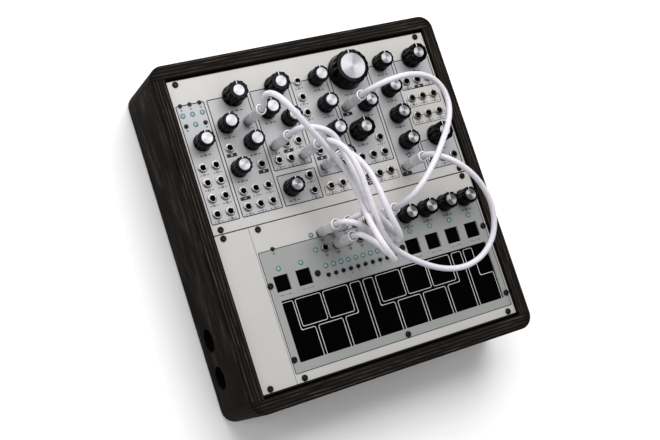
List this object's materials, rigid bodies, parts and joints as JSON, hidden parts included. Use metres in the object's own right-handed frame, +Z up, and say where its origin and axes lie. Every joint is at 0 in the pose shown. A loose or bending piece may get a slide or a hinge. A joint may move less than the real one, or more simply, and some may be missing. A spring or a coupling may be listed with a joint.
{
  "type": "modular synthesizer",
  "caption": "Tabletop modular synthesizer in a dark plywood case, with rows of knobs, patch jacks and lights, a flat touch keyboard, and white patch cables looped between its sockets.",
  "frame": {"origin": "centre of the case footprint, on the surface it stands on", "axes": "+Z up out of the front panels, +X along the panel rows to the right, +Y from the touch keyboard to the upper row"},
  "size_m": [0.2686, 0.2872, 0.1479],
  "materials": {
    "plywood": "dark stained plywood, satin, plies showing on the edges",
    "panel": "satin, printed",
    "rail": "black anodised",
    "board": "black solder mask",
    "knob": "glossy black with spun aluminium caps",
    "button": "matte",
    "plug": "frosted, translucent",
    "cable": "soft satin white"
  },
  "bodies": {
    "case": {"case_walls": "plywood", "base_panel": "plywood", "rail_frame": "rail", "synth_panel": "panel", "blank_panel": "panel", "keyboard_panel": "panel", "synth_board": "board", "keyboard_board": "board", "patch_cable_1": "cable", "patch_cable_2": "cable", "patch_cable_3": "cable", "patch_cable_4": "cable", "patch_cable_5": "cable", "plug_1a": "plug", "plug_1b": "plug", "plug_2a": "plug", "plug_2b": "plug", "plug_3a": "plug", "plug_3b": "plug", "plug_4a": "plug", "plug_4b": "plug", "plug_5a": "plug", "plug_5b": "plug"},
    "power_switch": {"power_switch": "button"},
    "knob_01": {"knob_01": "knob"},
    "knob_02": {"knob_02": "knob"},
    "knob_03": {"knob_03": "knob"},
    "knob_04": {"knob_04": "knob"},
    "knob_05": {"knob_05": "knob"},
    "knob_06": {"knob_06": "knob"},
    "knob_07": {"knob_07": "knob"},
    "knob_08": {"knob_08": "knob"},
    "knob_09": {"knob_09": "knob"},
    "knob_10": {"knob_10": "knob"},
    "knob_11": {"knob_11": "knob"},
    "knob_12": {"knob_12": "knob"},
    "knob_13": {"knob_13": "knob"},
    "knob_14": {"knob_14": "knob"},
    "knob_15": {"knob_15": "knob"},
    "knob_16": {"knob_16": "knob"},
    "wide_knob_1": {"wide_knob_1": "knob"},
    "wide_knob_2": {"wide_knob_2": "knob"},
    "wide_knob_3": {"wide_knob_3": "knob"},
    "wide_knob_4": {"wide_knob_4": "knob"},
    "wide_knob_5": {"wide_knob_5": "knob"},
    "large_knob": {"large_knob": "knob"},
    "keyboard_knob_1": {"keyboard_knob_1": "knob"},
    "keyboard_knob_2": {"keyboard_knob_2": "knob"},
    "keyboard_knob_3": {"keyboard_knob_3": "knob"},
    "keyboard_knob_4": {"keyboard_knob_4": "knob"},
    "step_button_01": {"step_button_01": "button"},
    "step_button_02": {"step_button_02": "button"},
    "step_button_03": {"step_button_03": "button"},
    "step_button_04": {"step_button_04": "button"},
    "step_button_05": {"step_button_05": "button"},
    "step_button_06": {"step_button_06": "button"},
    "step_button_07": {"step_button_07": "button"},
    "step_button_08": {"step_button_08": "button"},
    "step_button_09": {"step_button_09": "button"},
    "step_button_10": {"step_button_10": "button"}
  },
  "joints": [
    {"name": "power_switch_push", "type": "slide", "parent": "case", "child": "power_switch", "axis": [1, 0, 0], "range_m": [0, 0.003], "stiffness_N_per_m": 400},
    {"name": "knob_01_turn", "type": "hinge", "parent": "case", "child": "knob_01", "pos_m": [-0.1075, 0.07535, 0.0722], "axis": [0, 0, 1], "range_deg": [-150, 150]},
    {"name": "knob_02_turn", "type": "hinge", "parent": "case", "child": "knob_02", "pos_m": [-0.0831, 0.08515, 0.0722], "axis": [0, 0, 1], "range_deg": [-150, 150]},
    {"name": "knob_03_turn", "type": "hinge", "parent": "case", "child": "knob_03", "pos_m": [-0.066, 0.06695, 0.0722], "axis": [0, 0, 1], "range_deg": [-150, 150]},
    {"name": "knob_04_turn", "type": "hinge", "parent": "case", "child": "knob_04", "pos_m": [-0.0838, 0.04805, 0.0722], "axis": [0, 0, 1], "range_deg": [-150, 150]},
    {"name": "knob_05_turn", "type": "hinge", "parent": "case", "child": "knob_05", "pos_m": [-0.0442, 0.08965, 0.0722], "axis": [0, 0, 1], "range_deg": [-150, 150]},
    {"name": "knob_06_turn", "type": "hinge", "parent": "case", "child": "knob_06", "pos_m": [-0.0274, 0.07935, 0.0722], "axis": [0, 0, 1], "range_deg": [-150, 150]},
    {"name": "knob_07_turn", "type": "hinge", "parent": "case", "child": "knob_07", "pos_m": [-0.0449, 0.02265, 0.0722], "axis": [0, 0, 1], "range_deg": [-150, 150]},
    {"name": "knob_08_turn", "type": "hinge", "parent": "case", "child": "knob_08", "pos_m": [0.0075, 0.10785, 0.0722], "axis": [0, 0, 1], "range_deg": [-150, 150]},
    {"name": "knob_09_turn", "type": "hinge", "parent": "case", "child": "knob_09", "pos_m": [0.0085, 0.08405, 0.0722], "axis": [0, 0, 1], "range_deg": [-150, 150]},
    {"name": "knob_10_turn", "type": "hinge", "parent": "case", "child": "knob_10", "pos_m": [0.0085, 0.06055, 0.0722], "axis": [0, 0, 1], "range_deg": [-150, 150]},
    {"name": "knob_11_turn", "type": "hinge", "parent": "case", "child": "knob_11", "pos_m": [0.0086, 0.03795, 0.0722], "axis": [0, 0, 1], "range_deg": [-150, 150]},
    {"name": "knob_12_turn", "type": "hinge", "parent": "case", "child": "knob_12", "pos_m": [0.0713, 0.10935, 0.0722], "axis": [0, 0, 1], "range_deg": [-150, 150]},
    {"name": "knob_13_turn", "type": "hinge", "parent": "case", "child": "knob_13", "pos_m": [0.0449, 0.07735, 0.0722], "axis": [0, 0, 1], "range_deg": [-150, 150]},
    {"name": "knob_14_turn", "type": "hinge", "parent": "case", "child": "knob_14", "pos_m": [0.0715, 0.08515, 0.0722], "axis": [0, 0, 1], "range_deg": [-150, 150]},
    {"name": "knob_15_turn", "type": "hinge", "parent": "case", "child": "knob_15", "pos_m": [0.0714, 0.06155, 0.0722], "axis": [0, 0, 1], "range_deg": [-150, 150]},
    {"name": "knob_16_turn", "type": "hinge", "parent": "case", "child": "knob_16", "pos_m": [0.0717, 0.03745, 0.0722], "axis": [0, 0, 1], "range_deg": [-150, 150]},
    {"name": "wide_knob_1_turn", "type": "hinge", "parent": "case", "child": "wide_knob_1", "pos_m": [-0.0698, 0.10755, 0.0722], "axis": [0, 0, 1], "range_deg": [-150, 150]},
    {"name": "wide_knob_2_turn", "type": "hinge", "parent": "case", "child": "wide_knob_2", "pos_m": [-0.0315, 0.10785, 0.0722], "axis": [0, 0, 1], "range_deg": [-150, 150]},
    {"name": "wide_knob_3_turn", "type": "hinge", "parent": "case", "child": "wide_knob_3", "pos_m": [0.1027, 0.10835, 0.0722], "axis": [0, 0, 1], "range_deg": [-150, 150]},
    {"name": "wide_knob_4_turn", "type": "hinge", "parent": "case", "child": "wide_knob_4", "pos_m": [0.0311, 0.05575, 0.0722], "axis": [0, 0, 1], "range_deg": [-150, 150]},
    {"name": "wide_knob_5_turn", "type": "hinge", "parent": "case", "child": "wide_knob_5", "pos_m": [0.1024, 0.03685, 0.0722], "axis": [0, 0, 1], "range_deg": [-150, 150]},
    {"name": "large_knob_turn", "type": "hinge", "parent": "case", "child": "large_knob", "pos_m": [0.0362, 0.10795, 0.0722], "axis": [0, 0, 1], "range_deg": [-150, 150]},
    {"name": "keyboard_knob_1_turn", "type": "hinge", "parent": "case", "child": "keyboard_knob_1", "pos_m": [0.0476, -0.02295, 0.0722], "axis": [0, 0, 1], "range_deg": [-150, 150]},
    {"name": "keyboard_knob_2_turn", "type": "hinge", "parent": "case", "child": "keyboard_knob_2", "pos_m": [0.0676, -0.02235, 0.0722], "axis": [0, 0, 1], "range_deg": [-150, 150]},
    {"name": "keyboard_knob_3_turn", "type": "hinge", "parent": "case", "child": "keyboard_knob_3", "pos_m": [0.0876, -0.02185, 0.0722], "axis": [0, 0, 1], "range_deg": [-150, 150]},
    {"name": "keyboard_knob_4_turn", "type": "hinge", "parent": "case", "child": "keyboard_knob_4", "pos_m": [0.1076, -0.02185, 0.0722], "axis": [0, 0, 1], "range_deg": [-150, 150]},
    {"name": "step_button_01_press", "type": "slide", "parent": "case", "child": "step_button_01", "axis": [0, 0, -1], "range_m": [0, 0.0005], "stiffness_N_per_m": 800},
    {"name": "step_button_02_press", "type": "slide", "parent": "case", "child": "step_button_02", "axis": [0, 0, -1], "range_m": [0, 0.0005], "stiffness_N_per_m": 800},
    {"name": "step_button_03_press", "type": "slide", "parent": "case", "child": "step_button_03", "axis": [0, 0, -1], "range_m": [0, 0.0005], "stiffness_N_per_m": 800},
    {"name": "step_button_04_press", "type": "slide", "parent": "case", "child": "step_button_04", "axis": [0, 0, -1], "range_m": [0, 0.0005], "stiffness_N_per_m": 800},
    {"name": "step_button_05_press", "type": "slide", "parent": "case", "child": "step_button_05", "axis": [0, 0, -1], "range_m": [0, 0.0005], "stiffness_N_per_m": 800},
    {"name": "step_button_06_press", "type": "slide", "parent": "case", "child": "step_button_06", "axis": [0, 0, -1], "range_m": [0, 0.0005], "stiffness_N_per_m": 800},
    {"name": "step_button_07_press", "type": "slide", "parent": "case", "child": "step_button_07", "axis": [0, 0, -1], "range_m": [0, 0.0005], "stiffness_N_per_m": 800},
    {"name": "step_button_08_press", "type": "slide", "parent": "case", "child": "step_button_08", "axis": [0, 0, -1], "range_m": [0, 0.0005], "stiffness_N_per_m": 800},
    {"name": "step_button_09_press", "type": "slide", "parent": "case", "child": "step_button_09", "axis": [0, 0, -1], "range_m": [0, 0.0005], "stiffness_N_per_m": 800},
    {"name": "step_button_10_press", "type": "slide", "parent": "case", "child": "step_button_10", "axis": [0, 0, -1], "range_m": [0, 0.0005], "stiffness_N_per_m": 800}
  ]
}
